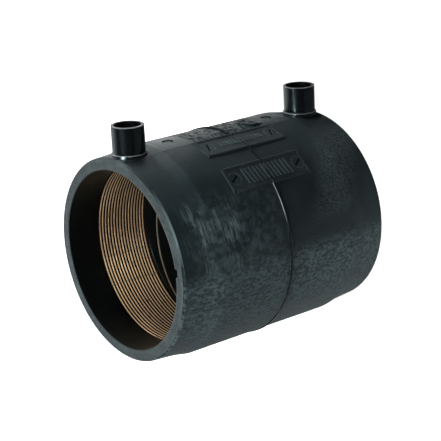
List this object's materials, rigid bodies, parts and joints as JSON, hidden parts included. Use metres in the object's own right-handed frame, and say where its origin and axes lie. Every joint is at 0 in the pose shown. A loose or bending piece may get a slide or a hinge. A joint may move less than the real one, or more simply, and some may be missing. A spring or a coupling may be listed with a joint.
{
  "type": "electrofusion coupler",
  "caption": "Electrofusion coupler for polyethylene pipe: socket barrel with a heating wire wound in its bore, two shrouded contact pins and fusion indicators.",
  "frame": {"origin": "on the axis of the bore, in the plane of the lower end face, on which the coupler stands", "axes": "+Z along the bore from the lower mouth to the upper; the two terminal shrouds point along -Y"},
  "size_m": [0.0904, 0.101, 0.1074],
  "materials": {
    "body": "black polyethylene, fine moulded grain",
    "wire": "bare drawn resistance wire, satin",
    "pin": "turned brass",
    "indicator": "black polyethylene"
  },
  "bodies": {
    "root": {"coupler_body": "body", "heating_wire": "wire", "contact_pin_lower": "pin", "contact_pin_upper": "pin", "fusion_indicator_lower": "indicator", "fusion_indicator_upper": "indicator"}
  },
  "joints": []
}
